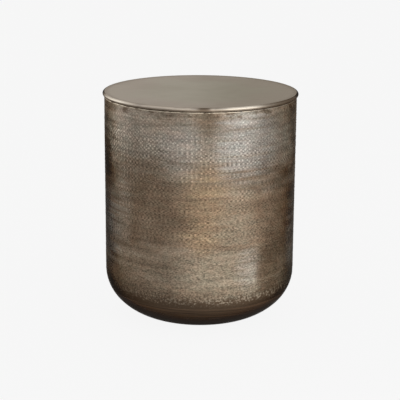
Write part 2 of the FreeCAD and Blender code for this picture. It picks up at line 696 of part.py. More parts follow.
parts = [
    make_drum_wall(),
    make_wire("rim_wire", "worked.rim_roll_reach", "worked.rim_height", "sizes.rim_wire_radius"),
    make_base_pan(),
    *[make_foot(number) for number in range(FOOT_COUNT)],
    make_foot_screws(),
    make_foot_washers(),
    make_foot_nuts(),
    make_lid_top(),
    make_wire("lid_wire", "worked.bead_reach", "worked.bead_height", "sizes.lid_wire_radius"),
    make_lid_collar(),
    make_lid_brace("lid_brace_across", "XZ_Plane", notch_from_top=True),
    make_lid_brace("lid_brace_deep", "YZ_Plane", notch_from_top=False),
]
doc.recompute()

# Every object has to have come out sound before anything is written.
for thing in doc.Objects:
    if "Invalid" in thing.State or "Error" in thing.State:
        raise RuntimeError(f"{thing.Label} failed: {thing.State}")
    if thing.isDerivedFrom("Sketcher::SketchObject") and not thing.FullyConstrained:
        raise RuntimeError(f"{thing.Label} isn't fully held by its dimensions")
for part in parts:
    if part.Shape.isNull() or not part.Shape.isValid() or not part.Shape.Solids:
        raise RuntimeError(f"{part.Label} has no sound shape")

os.makedirs("parts", exist_ok=True)
for part in parts:
    part.Shape.exportStep(os.path.join("parts", f"{part.Label}.step"))
    print(part.Label, "solids", len(part.Shape.Solids), "volume", round(part.Shape.Volume, 1))
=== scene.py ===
import math

import bpy
import numpy as np
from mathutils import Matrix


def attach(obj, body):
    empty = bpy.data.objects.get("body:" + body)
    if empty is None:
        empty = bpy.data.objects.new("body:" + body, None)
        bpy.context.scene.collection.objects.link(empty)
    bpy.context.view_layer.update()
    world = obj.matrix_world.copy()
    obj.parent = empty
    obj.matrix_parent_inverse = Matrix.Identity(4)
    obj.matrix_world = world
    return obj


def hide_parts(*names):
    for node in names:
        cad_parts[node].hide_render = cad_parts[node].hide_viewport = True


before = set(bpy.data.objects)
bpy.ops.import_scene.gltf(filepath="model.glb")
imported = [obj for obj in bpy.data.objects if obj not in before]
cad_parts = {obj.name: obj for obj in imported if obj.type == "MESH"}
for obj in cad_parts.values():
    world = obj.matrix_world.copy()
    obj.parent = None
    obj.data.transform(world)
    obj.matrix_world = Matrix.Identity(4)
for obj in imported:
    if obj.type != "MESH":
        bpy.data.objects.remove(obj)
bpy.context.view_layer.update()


# BASE PAN
# A dish spun from one disc of sheet steel: a heel ring round a raised middle, and two curves that run
# up to the wall. Its top is stepped in by the sheet's thickness and lapped inside the wall's foot.
# It has the wall's dark patina, and the spinning left it smooth, with faint rings.
mm = 0.001
merge_distance = 0.01 * mm
sheet_gauge = 1.2 * mm
pan_flat_radius = 95.9 * mm
pan_middle_height = 10 * mm
kick_radius, kick_degrees = 6 * mm, 60
heel_width = 5 * mm
heel_reach, heel_height = 111.3 * mm, 4 * mm
heel_radius, heel_degrees = 25 * mm, 16
belly_reach, belly_height, belly_degrees = 85.1 * mm, 120.3 * mm, 31
shoulder_reach, shoulder_height, shoulder_degrees = 108.5 * mm, 98.5 * mm, 18.9
shoulder_radius = 88 * mm
step_across, step_up = -0.29 * mm, 2.61 * mm
flange_degrees = 6.6
pan_facets = 192
pan_dark = (0.060, 0.041, 0.027)
pan_red_brown = (0.090, 0.058, 0.037)
pan_black = (0.038, 0.026, 0.018)
pan_edge_tint = (0.10, 0.08, 0.07)


def begin_outline(name, across, up):
    """Starts a new piece as one point in the upright plane through the drum's axis."""
    bpy.ops.object.select_all(action="DESELECT")
    bpy.ops.mesh.primitive_plane_add(size=mm)
    piece = bpy.context.object
    piece.name = name
    piece.data.name = name
    bpy.ops.object.mode_set(mode="EDIT")
    bpy.ops.mesh.merge(type="CENTER")
    bpy.ops.transform.translate(value=(across, 0, up))
    return piece


def draw_line(across, up):
    bpy.ops.mesh.extrude_region_move(TRANSFORM_OT_translate={"value": (across, 0, up)})


def draw_arc(across, up, degrees, steps):
    """Swings the outline's end round a centre, anticlockwise as the camera sees it."""
    bpy.ops.mesh.spin(
        steps=steps, angle=math.radians(degrees), center=(across, 0, up), axis=(0, 1, 0)
    )


def turn_outline(steps, axis=(0, 0, 1)):
    """Turns the outline a full round, about the upright axis if no other is named, and closes it."""
    bpy.ops.mesh.select_all(action="SELECT")
    bpy.ops.mesh.spin(steps=steps, angle=math.tau, center=(0, 0, 0), axis=axis)
    bpy.ops.mesh.select_all(action="SELECT")
    bpy.ops.mesh.remove_doubles(threshold=merge_distance)
    bpy.ops.mesh.normals_make_consistent(inside=False)
    bpy.ops.object.mode_set(mode="OBJECT")


def give_thickness(piece, thickness):
    """Turns a drawn skin into sheet, with the skin as its outside."""
    sheet = piece.modifiers.new("sheet", "SOLIDIFY")
    sheet.thickness = thickness
    sheet.offset = -1
    sheet.use_even_offset = True
    bpy.ops.object.modifier_apply(modifier=sheet.name)


def pick(piece):
    """Selects one piece alone."""
    bpy.ops.object.select_all(action="DESELECT")
    piece.select_set(True)
    bpy.context.view_layer.objects.active = piece


def paint(piece, finish):
    piece.data.materials.clear()
    piece.data.materials.append(finish)


def dress(piece, finish, crease_degrees=35):
    """Gives a new piece its finish, and smooth faces between its creases."""
    paint(piece, finish)
    pick(piece)
    bpy.ops.object.shade_smooth_by_angle(angle=math.radians(crease_degrees))


def new_finish(name):
    finish = bpy.data.materials.new(name)
    finish.use_nodes = True
    return finish, finish.node_tree.nodes["Principled BSDF"]


def node(finish, kind, inputs=None, **options):
    """Adds a node; each input is a number, a colour or another node's output."""
    made = finish.node_tree.nodes.new("ShaderNode" + kind)
    for option, choice in options.items():
        setattr(made, option, choice)
    for place, value in (inputs or {}).items():
        join(finish, value, made.inputs[place])
    return made


def join(finish, value, socket):
    if isinstance(value, bpy.types.NodeSocket):
        finish.node_tree.links.new(value, socket)
    elif socket.type == "RGBA":
        socket.default_value = (*value, 1)
    else:
        socket.default_value = value


def own_place(finish, centre=(0, 0, 0), reach=(1, 1, 1)):
    """The piece's own coordinates, counted from a centre in units of a reach."""
    own = node(finish, "TexCoord").outputs["Object"]
    laid = node(
        finish,
        "Mapping",
        {"Vector": own, "Location": centre, "Scale": reach},
        vector_type="TEXTURE",
    )
    return laid.outputs["Vector"]


def grain(finish, reach, detail=4.0, roughness=0.5, centre=(0, 0, 0)):
    """Noise from 0 to 1, whose grains are about as long as the reach on each axis."""
    made = node(
        finish,
        "TexNoise",
        {
            "Vector": own_place(finish, centre, reach),
            "Scale": 1.0,
            "Detail": detail,
            "Roughness": roughness,
        },
    )
    return made.outputs[0]


def ease(finish, value, low, high, first=0.0, last=1.0):
    """Carries a value from low to high smoothly to first to last, and holds it past the ends."""
    made = node(
        finish,
        "MapRange",
        {0: value, 1: low, 2: high, 3: first, 4: last},
        interpolation_type="SMOOTHSTEP",
    )
    return made.outputs[0]


def sums(finish, operation, first, second):
    return node(finish, "Math", {0: first, 1: second}, operation=operation).outputs[0]


def blend(finish, share, first, second, how="MIX"):
    """Lays the second colour over the first by a share from 0 to 1."""
    mixed = node(finish, "Mix", {0: share, 6: first, 7: second}, data_type="RGBA", blend_type=how)
    return mixed.outputs[2]


def height_on(finish):
    own = node(finish, "TexCoord").outputs["Object"]
    return node(finish, "SeparateXYZ", {0: own}).outputs[2]


base_pan = begin_outline("base_pan_dish", 0, pan_middle_height)
draw_line(pan_flat_radius, 0)
draw_arc(pan_flat_radius, pan_middle_height - kick_radius, -kick_degrees, 5)
draw_arc(heel_reach - heel_width, heel_height + kick_radius, kick_degrees, 5)
draw_line(heel_width, 0)
draw_arc(heel_reach, heel_height + heel_radius, heel_degrees, 5)
draw_arc(belly_reach, belly_height, belly_degrees, 14)
draw_arc(shoulder_reach, shoulder_height, shoulder_degrees, 10)
draw_line(step_across, step_up)
draw_arc(shoulder_reach, shoulder_height, flange_degrees, 5)
turn_outline(pan_facets)
give_thickness(base_pan, sheet_gauge)

pan_finish, shader = new_finish("dark spun sheet")
rings = grain(pan_finish, (0.16, 0.16, 0.0035), 5, 0.6)
smears = grain(pan_finish, (0.09, 0.09, 0.012), 4)
warm = ease(pan_finish, height_on(pan_finish), 0.022, 0.062)
streak = sums(pan_finish, "MULTIPLY", ease(pan_finish, rings, 0.44, 0.62), warm)
colour = blend(pan_finish, ease(pan_finish, smears, 0.35, 0.7), pan_dark, pan_black)
colour = blend(pan_finish, streak, colour, pan_red_brown)
join(pan_finish, colour, shader.inputs["Base Color"])
join(pan_finish, ease(pan_finish, smears, 0.3, 0.7, 0.34, 0.50), shader.inputs["Roughness"])
shader.inputs["Metallic"].default_value = 0.9
shader.inputs["Specular Tint"].default_value = (*pan_edge_tint, 1)
spun = node(pan_finish, "Bump", {"Strength": 0.10, "Distance": 0.3 * mm, "Height": rings})
join(pan_finish, spun.outputs[0], shader.inputs["Normal"])
dress(base_pan, pan_finish)
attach(base_pan, "drum")
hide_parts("base_pan")


# RUBBER FEET
# Four short cones moulded in black rubber, each with a sunk hole for its screw. They lift the heel
# ring clear of the floor. The moulding leaves a fine matt grain, and the soles pick up dust.
foot_count = 4
dusty_height = 3 * mm
rubber_black = (0.018, 0.017, 0.016)
sole_dust = (0.16, 0.15, 0.135)

foot_finish, shader = new_finish("moulded rubber")
dust = ease(foot_finish, height_on(foot_finish), 0.0, dusty_height, 1.0, 0.0)
dust = sums(foot_finish, "MULTIPLY", dust, grain(foot_finish, (0.004, 0.004, 0.004), 5, 0.65))
colour = blend(foot_finish, dust, rubber_black, sole_dust)
join(foot_finish, colour, shader.inputs["Base Color"])
pebble = grain(foot_finish, (0.0006, 0.0006, 0.0006), 3)
join(foot_finish, ease(foot_finish, pebble, 0.3, 0.7, 0.62, 0.85), shader.inputs["Roughness"])
shader.inputs["Specular IOR Level"].default_value = 0.35
moulded = node(foot_finish, "Bump", {"Strength": 0.35, "Distance": 0.15 * mm, "Height": pebble})
join(foot_finish, moulded.outputs[0], shader.inputs["Normal"])
for number in range(1, foot_count + 1):
    paint(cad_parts[f"foot_{number}"], foot_finish)


# FOOT SCREWS, WASHERS AND NUTS
# Each foot hangs on one zinc-plated machine screw that comes up through the rubber and the pan. A
# washer and a hexagon nut hold it on the pan's floor. The plating is bright, with a faint yellow cast.
foot_circle = 77.9 * mm
first_foot_degrees = 45
odd_turn_degrees = 37
screw_radius = 2.5 * mm
thread_pitch = 0.8 * mm
thread_depth = 0.45 * mm
screw_head_radius = 4.6 * mm
screw_head_low, screw_head_high = 1.7 * mm, 5.0 * mm
head_dish, head_rounding = 0.1 * mm, 1.6 * mm
cross_length, cross_width, cross_height = 4.6 * mm, 1.0 * mm, 3.0 * mm
cross_taper = 0.45
plain_shank = 0.8 * mm
tip_chamfer = 0.6 * mm
screw_tip_height = 17.7 * mm
washer_low, washer_high = 11.2 * mm, 12.2 * mm
washer_bore, washer_radius = 2.8 * mm, 6.0 * mm
washer_rounding, washer_chamfer = 0.3 * mm, 0.2 * mm
nut_high = 16.2 * mm
nut_bore, nut_corner_radius = 2.55 * mm, 4.6 * mm
turning_face = 1.2 * mm
turning_out, turning_up = 1.15 * mm, 1.0 * mm
zinc_grey = (0.52, 0.53, 0.54)
zinc_yellow = (0.63, 0.61, 0.55)

zinc_finish, shader = new_finish("zinc plate")
clouds = grain(zinc_finish, (0.002, 0.002, 0.002), 5, 0.6)
colour = blend(zinc_finish, ease(zinc_finish, clouds, 0.35, 0.65), zinc_grey, zinc_yellow)
join(zinc_finish, colour, shader.inputs["Base Color"])
join(zinc_finish, ease(zinc_finish, clouds, 0.3, 0.7, 0.26, 0.42), shader.inputs["Roughness"])
shader.inputs["Metallic"].default_value = 1.0


def cut_with(piece, cutter, operation):
    """Cuts a piece with another, which is then thrown away."""
    cut = piece.modifiers.new("cut", "BOOLEAN")
    cut.operation = operation
    cut.object = cutter
    cut.solver = "EXACT"
    bpy.context.view_layer.objects.active = piece
    bpy.ops.object.modifier_apply(modifier=cut.name)
    bpy.data.objects.remove(cutter)


def make_screw():
    """One pan-head screw on the upright axis: turned, threaded and cross-cut."""
    screw = begin_outline("foot_screw_1", 0, screw_head_low)
    rounding_height = screw_head_low + head_dish + head_rounding
    draw_line(screw_head_radius - head_rounding, head_dish)
    draw_arc(screw_head_radius - head_rounding, rounding_height, 90, 6)
    draw_line(0, screw_head_high - rounding_height)
    draw_line(screw_radius - screw_head_radius, 0)
    thread_length = screw_tip_height - screw_head_high - plain_shank - tip_chamfer
    turns = math.floor(thread_length / thread_pitch)
    draw_line(0, plain_shank)
    for _ in range(turns):
        draw_line(-thread_depth, thread_pitch / 2)
        draw_line(thread_depth, thread_pitch / 2)
    draw_line(0, thread_length - turns * thread_pitch)
    draw_line(-tip_chamfer, tip_chamfer)
    draw_line(tip_chamfer - screw_radius, 0)
    turn_outline(32)
    for quarter in range(2):
        bpy.ops.object.select_all(action="DESELECT")
        bpy.ops.mesh.primitive_cube_add(
            size=1,
            location=(0, 0, screw_head_low),
            scale=(cross_length, cross_width, cross_height),
        )
        slot = bpy.context.object
        bpy.ops.object.transform_apply(location=True, rotation=True, scale=True)
        bpy.ops.object.mode_set(mode="EDIT")
        bpy.ops.mesh.select_all(action="SELECT")
        bpy.ops.transform.rotate(
            value=quarter * math.pi / 2, orient_axis="Z", center_override=(0, 0, 0)
        )
        bpy.ops.object.mode_set(mode="OBJECT")
        for point in slot.data.vertices:
            if point.co.z > screw_head_low:
                point.co.x *= cross_taper
                point.co.y *= cross_taper
        cut_with(screw, slot, "DIFFERENCE")
    return screw


def make_washer():
    """One stamped washer: rounded outside, its hole chamfered on top."""
    washer = begin_outline("foot_washer_1", washer_bore, washer_low)
    washer_flat = washer_radius - washer_rounding
    draw_line(washer_flat - washer_bore, 0)
    draw_arc(washer_flat, washer_low + washer_rounding, 90, 4)
    draw_line(0, washer_high - washer_low - 2 * washer_rounding)
    draw_arc(washer_flat, washer_high - washer_rounding, 90, 4)
    draw_line(washer_bore + washer_chamfer - washer_flat, 0)
    draw_line(-washer_chamfer, -washer_chamfer)
    draw_line(0, washer_low - washer_high + washer_chamfer)
    turn_outline(48)
    return washer


def make_nut():
    """One hexagon nut: a six-sided bar end, its corners turned off in a lathe, bored through."""
    bpy.ops.object.select_all(action="DESELECT")
    bpy.ops.mesh.primitive_cylinder_add(
        vertices=6,
        radius=nut_corner_radius,
        depth=nut_high - washer_high,
        location=(0, 0, (nut_high + washer_high) / 2),
    )
    nut = bpy.context.object
    nut.name = nut.data.name = "foot_nut_1"
    bpy.ops.object.transform_apply(location=True, rotation=True, scale=True)
    turning = begin_outline("nut_turning", nut_bore, washer_high - turning_up / 2)
    draw_line(turning_face, 0)
    draw_line(turning_out, turning_up)
    draw_line(0, nut_high - washer_high - turning_up)
    draw_line(-turning_out, turning_up)
    draw_line(-turning_face, 0)
    draw_line(0, washer_high - nut_high - turning_up)
    turn_outline(48)
    cut_with(nut, turning, "INTERSECT")
    return nut


def copy_of(piece):
    """A copy with its own mesh."""
    pick(piece)
    bpy.ops.object.duplicate(linked=False)
    return bpy.context.object


for made, cad_node in (
    (make_screw(), "foot_screws"),
    (make_washer(), "foot_washers"),
    (make_nut(), "foot_nuts"),
):
    dress(made, zinc_finish, 30)
    first_name = made.name[:-1]
    fasteners = [made]
    for number in range(2, foot_count + 1):
        fastener = copy_of(made)
        fastener.name = fastener.data.name = f"{first_name}{number}"
        fasteners.append(fastener)
    for number, fastener in enumerate(fasteners):
        angle = math.radians(first_foot_degrees) + math.tau * number / foot_count
        fastener.location = (foot_circle * math.cos(angle), foot_circle * math.sin(angle), 0)
        fastener.rotation_euler = (0, 0, math.radians(odd_turn_degrees * number))
        pick(fastener)
        bpy.ops.object.transform_apply(location=True, rotation=True, scale=True)
        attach(fastener, "drum")
        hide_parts(cad_node)


# DRUM WALL
# Sheet steel punched all over with rows of small raised dots, rolled round and joined in one upright
# seam at the front. The mouth is curled inwards round a wire and the foot is drawn in over the base.
# Antique brass plating, rubbed bright on the dots, dark between them, and greyer and paler towards the
# mouth, partly as patina and partly as a painted reflection. Spots of painted highlight and painted shade
# lie over it, with some tarnish.
drum_radius = 196.5 * mm
dot_columns, dot_rows = 133, 49
dot_radius = 2.5 * mm
dot_rise = 0.70 * mm
neck_degrees = 24
neck_turn = math.radians(neck_degrees)
neck_length = shoulder_radius * neck_turn
roll_height = 458.6 * mm
roll_radius = 3.8 * mm
roll_degrees = 250
roll_turn = math.radians(roll_degrees)
seam_half_columns = 69
seam_turn = math.tau / 4 - seam_half_columns * math.tau / (2 * dot_columns)
wall_length = neck_length + roll_height - shoulder_height
cell_width = math.tau * drum_radius / dot_columns
cell_height = wall_length / dot_rows
dot_wander = 2.4 * mm
moat, moat_edge = -0.15, -0.2
edge_width, seam_width = 0.1 * mm, 0.5 * mm
join_distance = 0.05 * mm
bronze_dark = (0.122, 0.087, 0.059)
bronze = (0.171, 0.125, 0.087)
brass_gold = (0.200, 0.147, 0.095)
pewter = (0.228, 0.199, 0.163)
warm_pewter = (0.276, 0.238, 0.196)
pewter_pale = (0.360, 0.312, 0.262)
silver = (0.242, 0.228, 0.209)
silver_pale = (0.280, 0.270, 0.256)
honey = (0.232, 0.188, 0.143)
slate = (0.150, 0.141, 0.131)
beige = (0.176, 0.148, 0.112)
umber = (0.080, 0.057, 0.038)
rim_brown = (0.238, 0.184, 0.133)
worn_through = (0.27, 0.222, 0.17)
mouth_highlight = (0.55, 0.48, 0.38)
bare_dark = (0.20, 0.185, 0.165)
bare_pale = (0.27, 0.245, 0.21)
tarnish_red = (1.035, 0.988, 0.972)
tarnish_green = (0.982, 1.004, 0.995)
wall_edge_tint = (0.10, 0.095, 0.09)


def pick_no_points():
    """Clears what is selected in the active mesh, before points are picked in code."""
    bpy.ops.object.mode_set(mode="EDIT")
    bpy.ops.mesh.select_mode(type="VERT")
    bpy.ops.mesh.select_all(action="DESELECT")
    bpy.ops.object.mode_set(mode="OBJECT")


# One dot in its cell is drawn flat and repeated across and along the sheet.
bpy.ops.object.select_all(action="DESELECT")
bpy.ops.mesh.primitive_circle_add(vertices=8, radius=dot_radius, fill_type="TRIFAN")
drum_wall = bpy.context.object
drum_wall.name = drum_wall.data.name = "drum_wall_sheet"
pick_no_points()
for point in drum_wall.data.vertices:
    point.select = point.co.length > dot_radius / 2
    if not point.select:
        point.co.z = dot_rise
bpy.ops.object.mode_set(mode="EDIT")
bpy.ops.mesh.extrude_region_move()
bpy.ops.object.mode_set(mode="OBJECT")
for point in drum_wall.data.vertices:
    if point.select:
        point.co.x = round(point.co.x / dot_radius) * cell_width / 2
        point.co.y = round(point.co.y / dot_radius) * cell_height / 2
for count, offset in ((dot_columns, (cell_width, 0, 0)), (dot_rows, (0, cell_height, 0))):
    repeat = drum_wall.modifiers.new("repeat", "ARRAY")
    repeat.count = count
    repeat.use_relative_offset = False
    repeat.use_constant_offset = True
    repeat.constant_offset_displace = offset
    repeat.use_merge_vertices = True
    repeat.merge_threshold = merge_distance
    bpy.ops.object.modifier_apply(modifier=repeat.name)

# The punched sheet is rolled up: across it becomes the way round, along it the way up the wall. Each
# dot stands in a shallow moat, and a smaller dot between every four stands out more on the flanks. The
# dots are battered low down, worn towards the mouth, less so on the right, and rubbed flat in patches.
flat = np.zeros(len(drum_wall.data.vertices) * 3)
drum_wall.data.vertices.foreach_get("co", flat)
flat = flat.reshape(-1, 3)
around = (flat[:, 0] / cell_width + 0.5) / dot_columns
along = flat[:, 1] + cell_height / 2
crown = flat[:, 2] > dot_rise / 2
side_shares = np.abs(np.stack([around * dot_columns, along / cell_height], axis=1) % 1.0 - 0.5)
on_border = side_shares > 0.49
corner = on_border.all(axis=1)
between = on_border.any(axis=1) & ~corner
chance = np.random.default_rng(7)
battered = np.interp(along, [0, 110 * mm, 230 * mm, 300 * mm], [0.50, 0.47, 0.44, 0.40])
strength = chance.normal(1.0, battered).clip(0.1, 1.6)
strength *= np.interp(
    along,
    [0, 14 * mm, 30 * mm, 150 * mm, 220 * mm, 290 * mm, 335 * mm],
    [0.2, 0.5, 0.6, 0.5, 0.55, 0.95, 1],
)
turned = seam_turn + math.tau * around
sideways = 1.4 * np.sin(turned)
worn_top = np.interp(along, [335 * mm, 365 * mm, wall_length], [0, 0.55, 0.8])
strength *= 1 - worn_top * (1 - 0.65 * np.clip(sideways, 0, 1))
for turn, up_wall, wide, tall, flattened in (
    (-25, 294 * mm, 22, 34 * mm, 0.60),
    (22, 288 * mm, 15, 22 * mm, 0.55),
    (-24, 145 * mm, 18, 26 * mm, 0.50),
):
    off_turn = (turned - math.radians(turn) + math.pi) % math.tau - math.pi
    off_patch = (off_turn / math.radians(wide)) ** 2 + ((along - up_wall) / tall) ** 2
    strength *= 1 - flattened * np.exp(-off_patch)
flank = np.clip(np.abs(sideways), 0, 1)
relief = np.where(between, moat_edge, moat)
relief = np.where(corner, 0.15 + 0.52 * flank, relief)
relief = np.where(crown, 1.0 - 0.2 * flank, relief) * strength
at_edge = (along < edge_width) | (along > wall_length - edge_width)
at_seam = np.minimum(around, 1 - around) * math.tau * drum_radius < seam_width
relief[at_edge | at_seam] = 0
cell_across = np.floor(around * dot_columns).astype(int)
cell_along = np.floor(along / cell_height).astype(int)
drift = chance.normal(0, 1, (dot_columns * (dot_rows + 2), 2)).clip(-1, 1)
wander = np.where(on_border.any(axis=1), 0, dot_wander * battered)[:, None]
wander = wander * drift[cell_across + dot_columns * cell_along]
along += wander[:, 1]
seam_depth = mm * np.interp(along, [0, 300 * mm, 345 * mm, wall_length], [0.03, 0.05, 0.3, 0.3])
rise = relief * dot_rise - np.where(at_seam, seam_depth, 0.0)
turned += wander[:, 0] / drum_radius
neck = np.minimum(along / shoulder_radius, neck_turn) - neck_turn
neck_radius = shoulder_radius + rise
wall_reach = shoulder_reach + neck_radius * np.cos(neck)
wall_up = shoulder_height + neck_radius * np.sin(neck) + np.maximum(along - neck_length, 0)
rolled = np.stack([wall_reach * np.sin(turned), -wall_reach * np.cos(turned), wall_up], axis=1)
drum_wall.data.vertices.foreach_set("co", rolled.ravel())
dot_layer = drum_wall.data.attributes.new("dot", "FLOAT", "POINT")
dot_layer.data.foreach_set("value", relief.astype(np.float32))
column_layer = drum_wall.data.attributes.new("column", "FLOAT", "POINT")
columns_wave = -np.cos(math.tau * around * dot_columns)
column_layer.data.foreach_set("value", columns_wave.astype(np.float32))

# The curled mouth, the inside face and the foot's edge are turned, then joined to the punched sheet.
wall_rest = begin_outline("wall_rest", drum_radius, roll_height)
draw_arc(drum_radius - roll_radius, roll_height, roll_degrees, 22)
draw_line(-sheet_gauge * math.cos(roll_turn), -sheet_gauge * math.sin(roll_turn))
draw_arc(drum_radius - roll_radius, roll_height, -roll_degrees, 14)
for _ in range(3):
    draw_line(0, (shoulder_height - roll_height) / 3)
draw_arc(shoulder_reach, shoulder_height, -neck_degrees, 6)
draw_line(sheet_gauge * math.cos(neck_turn), -sheet_gauge * math.sin(neck_turn))
turn_outline(2 * dot_columns)
inside_layer = wall_rest.data.attributes.new("inside", "FLOAT", "POINT")
for point, mark in zip(wall_rest.data.vertices, inside_layer.data):
    outwards = math.hypot(point.co.x, point.co.y) - shoulder_reach
    from_shoulder = math.hypot(outwards, min(point.co.z - shoulder_height, 0))
    within = from_shoulder < shoulder_radius - sheet_gauge / 2
    mark.value = float(within and point.co.z < roll_height - mm)
bpy.ops.object.select_all(action="DESELECT")
wall_rest.select_set(True)
drum_wall.select_set(True)
bpy.context.view_layer.objects.active = drum_wall
bpy.ops.object.join()
bpy.ops.object.mode_set(mode="EDIT")
bpy.ops.mesh.select_all(action="SELECT")
bpy.ops.mesh.remove_doubles(threshold=join_distance)
bpy.ops.mesh.normals_make_consistent(inside=False)
bpy.ops.object.mode_set(mode="OBJECT")


def tint_spot(finish, colour, tint, share, centre, reach, edge):
    """Lays a spot of another tint over a colour, which fades out at its reach with a ragged edge. It lays
    tarnish, and also painted highlights and painted shade.
    """
    laid = own_place(finish, centre, reach)
    ball = node(finish, "TexGradient", {0: laid}, gradient_type="SPHERICAL").outputs[1]
    spot = ease(finish, sums(finish, "MULTIPLY", ball, edge), 0.0, 0.75)
    return blend(finish, sums(finish, "MULTIPLY", spot, share), colour, tint)


# The ground colour: bronze that greys and pales towards the mouth, partly patina and partly a painted
# reflection of the bright floor, beige low down, brown under the rim.
wall_finish, shader = new_finish("antique brass, dotted")
height = height_on(wall_finish)
across = node(wall_finish, "SeparateXYZ", {0: own_place(wall_finish)}).outputs[0]
dots = node(wall_finish, "Attribute", attribute_name="dot").outputs["Fac"]
streaks = grain(wall_finish, (0.10, 0.10, 0.012), 6, 0.62)
bands = grain(wall_finish, (0.40, 0.40, 0.035), 3)
blotches = grain(wall_finish, (0.07, 0.07, 0.045), 5, 0.55)
specks = grain(wall_finish, (0.0026, 0.0026, 0.0024), 1)
scuffs = grain(wall_finish, (0.0046, 0.0046, 0.0018), 1)
chips = grain(wall_finish, (0.0050, 0.0050, 0.0040), 2)
strokes = grain(wall_finish, (0.040, 0.040, 0.0028), 2)
tarnish = grain(wall_finish, (0.018, 0.018, 0.010), 3)
scratches = grain(wall_finish, (0.050, 0.050, 0.0013), 2)
patches = grain(wall_finish, (0.022, 0.022, 0.011), 4, 0.6)
smears = grain(wall_finish, (0.14, 0.14, 0.008), 5, 0.65)
colour = blend(wall_finish, ease(wall_finish, blotches, 0.34, 0.66), bronze_dark, bronze)
grey_and_lit_share = sums(wall_finish, "ADD", ease(wall_finish, height, 0.26, 0.46, 0.0, 0.8), bands)
grey_and_lit_share = sums(wall_finish, "ADD", grey_and_lit_share, ease(wall_finish, blotches, 0.2, 0.8, -0.2, 0.2))
colour = blend(wall_finish, ease(wall_finish, grey_and_lit_share, 0.55, 1.2), colour, pewter)
low_share = ease(wall_finish, bands, 0.30, 0.60, 0.45, 1.0)
low_share = sums(wall_finish, "MULTIPLY", ease(wall_finish, height, 0.20, 0.14), low_share)
low_share = sums(wall_finish, "MULTIPLY", ease(wall_finish, across, -0.12, 0.0, 0.25, 1.0), low_share)
colour = blend(wall_finish, low_share, colour, beige)
under_rim = sums(
    wall_finish,
    "MULTIPLY",
    ease(wall_finish, height, 0.405, 0.448, 0.0, 0.75),
    ease(wall_finish, blotches, 0.30, 0.60, 0.45, 1.0),
)
colour = blend(wall_finish, under_rim, colour, rim_brown)

# Spots of tint, each as tint, share, centre, spread. Some are tarnish and rubbing, but many are painted
# light: the pale silver and pewter spots high up and on the right, and partly the gold ones, are painted
# reflections and highlights, and most of the dark umber and slate spots, down both flanks and low on the
# right, are painted shade.
patchy = ease(wall_finish, streaks, 0.35, 0.6, 0.35, 1.0)
brushed = ease(wall_finish, smears, 0.30, 0.70, 0.35, 1.65)
for tint, share, centre, spread in (
    (brass_gold, patchy, (0.010, -0.19, 0.325), (0.075, 0.10, 0.050)),
    (brass_gold, patchy, (0.012, -0.19, 0.210), (0.065, 0.10, 0.042)),
    (brass_gold, 0.45, (0.005, -0.19, 0.268), (0.070, 0.10, 0.045)),
    (silver, 0.95, (0.088, -0.174, 0.400), (0.092, 0.12, 0.115)),
    (silver, 0.55, (-0.035, -0.193, 0.40), (0.07, 0.08, 0.07)),
    (beige, 0.60, (0.072, -0.18, 0.222), (0.065, 0.09, 0.060)),
    (silver, 0.40, (0.098, -0.170, 0.146), (0.040, 0.08, 0.060)),
    (warm_pewter, 0.75, (-0.122, -0.152, 0.430), (0.095, 0.10, 0.070)),
    (umber, 0.72, (0.018, -0.195, 0.440), (0.040, 0.06, 0.065)),
    (honey, 0.75, (-0.038, -0.192, 0.365), (0.07, 0.08, 0.075)),
    (silver_pale, 0.45, (0.062, -0.186, 0.412), (0.050, 0.08, 0.055)),
    (silver_pale, 0.45, (-0.038, -0.192, 0.395), (0.055, 0.08, 0.065)),
    (pewter, 0.45, (-0.165, -0.107, 0.33), (0.06, 0.10, 0.14)),
    (slate, 0.70, (-0.184, -0.050, 0.21), (0.040, 0.17, 0.12)),
    (umber, 0.85, (0.140, -0.138, 0.136), (0.036, 0.06, 0.11)),
    (umber, 0.60, (0.127, -0.150, 0.132), (0.022, 0.06, 0.09)),
    (umber, 0.50, (0.165, -0.107, 0.130), (0.050, 0.09, 0.11)),
    (slate, 0.65, (0.193, -0.02, 0.190), (0.028, 0.15, 0.16)),
    (umber, 0.45, (-0.170, -0.10, 0.065), (0.085, 0.10, 0.07)),
    (umber, 0.22, (0.150, -0.127, 0.420), (0.060, 0.08, 0.09)),
    (umber, 0.30, (0.190, -0.050, 0.430), (0.030, 0.08, 0.06)),
    (umber, 0.25, (0.175, -0.090, 0.310), (0.045, 0.09, 0.06)),
    (umber, 0.55, (-0.182, -0.074, 0.312), (0.032, 0.08, 0.05)),
    (pewter_pale, 0.40, (-0.154, -0.122, 0.428), (0.034, 0.08, 0.06)),
    (pewter_pale, 0.35, (-0.048, -0.190, 0.385), (0.045, 0.08, 0.07)),
    (umber, 0.20, (-0.080, -0.18, 0.318), (0.060, 0.08, 0.05)),
    (umber, 0.90, (-0.191, -0.045, 0.348), (0.026, 0.08, 0.105)),
    (slate, 0.55, (-0.192, -0.030, 0.225), (0.028, 0.14, 0.06)),
    (umber, 0.40, (-0.125, -0.152, 0.325), (0.034, 0.08, 0.125)),
    (pewter, 0.40, (-0.157, -0.118, 0.235), (0.032, 0.08, 0.12)),
    (beige, 0.45, (0.075, -0.181, 0.288), (0.050, 0.08, 0.045)),
    (beige, 0.35, (0.045, -0.191, 0.165), (0.060, 0.08, 0.035)),
    (rim_brown, 0.35, (-0.062, -0.186, 0.434), (0.065, 0.08, 0.034)),
    (bronze, 0.60, (-0.060, -0.165, 0.088), (0.095, 0.10, 0.035)),
    (umber, 0.15, (0.004, -0.196, 0.375), (0.035, 0.06, 0.06)),
    (umber, 0.20, (0.112, -0.161, 0.345), (0.034, 0.08, 0.12)),
):
    colour = tint_spot(wall_finish, colour, tint, share, centre, spread, brushed)
